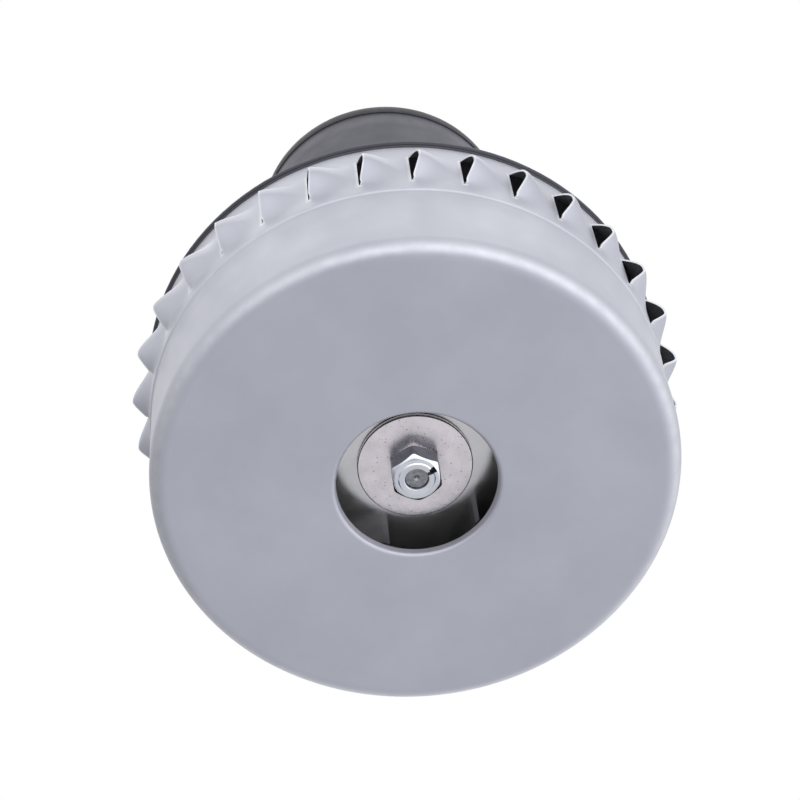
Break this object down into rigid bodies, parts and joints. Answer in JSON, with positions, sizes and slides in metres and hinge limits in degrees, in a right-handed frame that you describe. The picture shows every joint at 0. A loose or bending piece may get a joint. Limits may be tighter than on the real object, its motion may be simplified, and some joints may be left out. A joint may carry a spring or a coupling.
{
  "type": "vacuum motor unit",
  "caption": "Two-stage bypass vacuum motor: pressed steel fan shroud with a round inlet and a louvred outlet band, flanged plastic motor housing, turning fan and armature.",
  "frame": {"origin": "centre of the inlet face, on its outer plane, where the motor stands", "axes": "+Z along the shaft from the inlet to the motor's top cover, +X along the brushes, +Y towards the terminals"},
  "size_m": [0.1536, 0.1536, 0.172],
  "materials": {
    "zinc_sheet": "zinc-plated sheet",
    "gasket_rubber": "matt",
    "housing_plastic": "fine grain",
    "cover_plastic": "fine grain",
    "cast_alloy": "die cast",
    "plain_sheet": "plain sheet",
    "fan_aluminium": "bright rolled",
    "turned_steel": "turned",
    "bright_nut": "bright",
    "washer_steel": "satin",
    "bearing_steel": "ground",
    "core_sheet": "laminated",
    "copper_wire": "lacquered wire",
    "copper_bars": "turned copper",
    "dark_plastic": "matt",
    "brass_sheet": "plain",
    "carbon": "pressed carbon",
    "spring_steel": "plain",
    "tinned_brass": "tinned",
    "screw_steel": "zinc plated"
  },
  "bodies": {
    "motor_frame": {"fan_shroud": "zinc_sheet", "shroud_gasket": "gasket_rubber", "motor_housing": "housing_plastic", "top_cover": "cover_plastic", "fan_end_bracket": "cast_alloy", "guide_plate": "plain_sheet", "return_vanes": "plain_sheet", "stage_plate": "plain_sheet", "fan_bearing_outer_ring": "bearing_steel", "rear_bearing_outer_ring": "bearing_steel", "rear_bearing_damper": "gasket_rubber", "stator_core": "core_sheet", "field_coil_front": "copper_wire", "field_coil_back": "copper_wire", "stator_screws": "screw_steel", "rear_bracket": "dark_plastic", "brush_tube_left": "brass_sheet", "brush_tube_right": "brass_sheet", "brush_spring_left": "spring_steel", "brush_spring_right": "spring_steel", "brush_cap_left": "brass_sheet", "brush_cap_right": "brass_sheet", "terminal_block": "dark_plastic", "terminal_tabs": "tinned_brass", "housing_screws": "screw_steel", "cover_screws": "screw_steel"},
    "rotor": {"impeller_1_front_plate": "fan_aluminium", "impeller_1_blades": "fan_aluminium", "impeller_1_back_plate": "fan_aluminium", "impeller_2_front_plate": "fan_aluminium", "impeller_2_blades": "fan_aluminium", "impeller_2_back_plate": "fan_aluminium", "impeller_spacer": "turned_steel", "shaft": "turned_steel", "shaft_nut": "bright_nut", "clamp_washer": "washer_steel", "bearing_spacer": "turned_steel", "fan_bearing_inner_ring": "bearing_steel", "rear_bearing_inner_ring": "bearing_steel", "armature_core": "core_sheet", "armature_winding": "copper_wire", "commutator": "copper_bars", "cooling_fan": "dark_plastic"},
    "brush_left": {"carbon_brush_left": "carbon"},
    "brush_right": {"carbon_brush_right": "carbon"},
    "fan_bearing_cage": {"fan_bearing_balls": "bearing_steel"},
    "rear_bearing_cage": {"rear_bearing_balls": "bearing_steel"}
  },
  "joints": [
    {"name": "rotor_spin", "type": "hinge", "parent": "motor_frame", "child": "rotor", "pos_m": [0, 0, 0], "axis": [0, 0, -1], "continuous": true},
    {"name": "fan_bearing_cage_spin", "type": "hinge", "parent": "motor_frame", "child": "fan_bearing_cage", "pos_m": [0, 0, 0.064], "axis": [0, 0, -1], "continuous": true},
    {"name": "rear_bearing_cage_spin", "type": "hinge", "parent": "motor_frame", "child": "rear_bearing_cage", "pos_m": [0, 0, 0.1495], "axis": [0, 0, -1], "continuous": true},
    {"name": "brush_left_slide", "type": "slide", "parent": "motor_frame", "child": "brush_left", "axis": [-1, 0, 0], "range_m": [0, 0.003], "stiffness_N_per_m": 300, "springref_m": -0.008, "deforming": ["brush_spring_left"]},
    {"name": "brush_right_slide", "type": "slide", "parent": "motor_frame", "child": "brush_right", "axis": [1, 0, 0], "range_m": [0, 0.003], "stiffness_N_per_m": 300, "springref_m": -0.008, "deforming": ["brush_spring_right"]}
  ],
  "couplings": [
    {"joint": "fan_bearing_cage_spin", "follows": "rotor_spin", "ratio": 0.37},
    {"joint": "rear_bearing_cage_spin", "follows": "rotor_spin", "ratio": 0.37692}
  ]
}
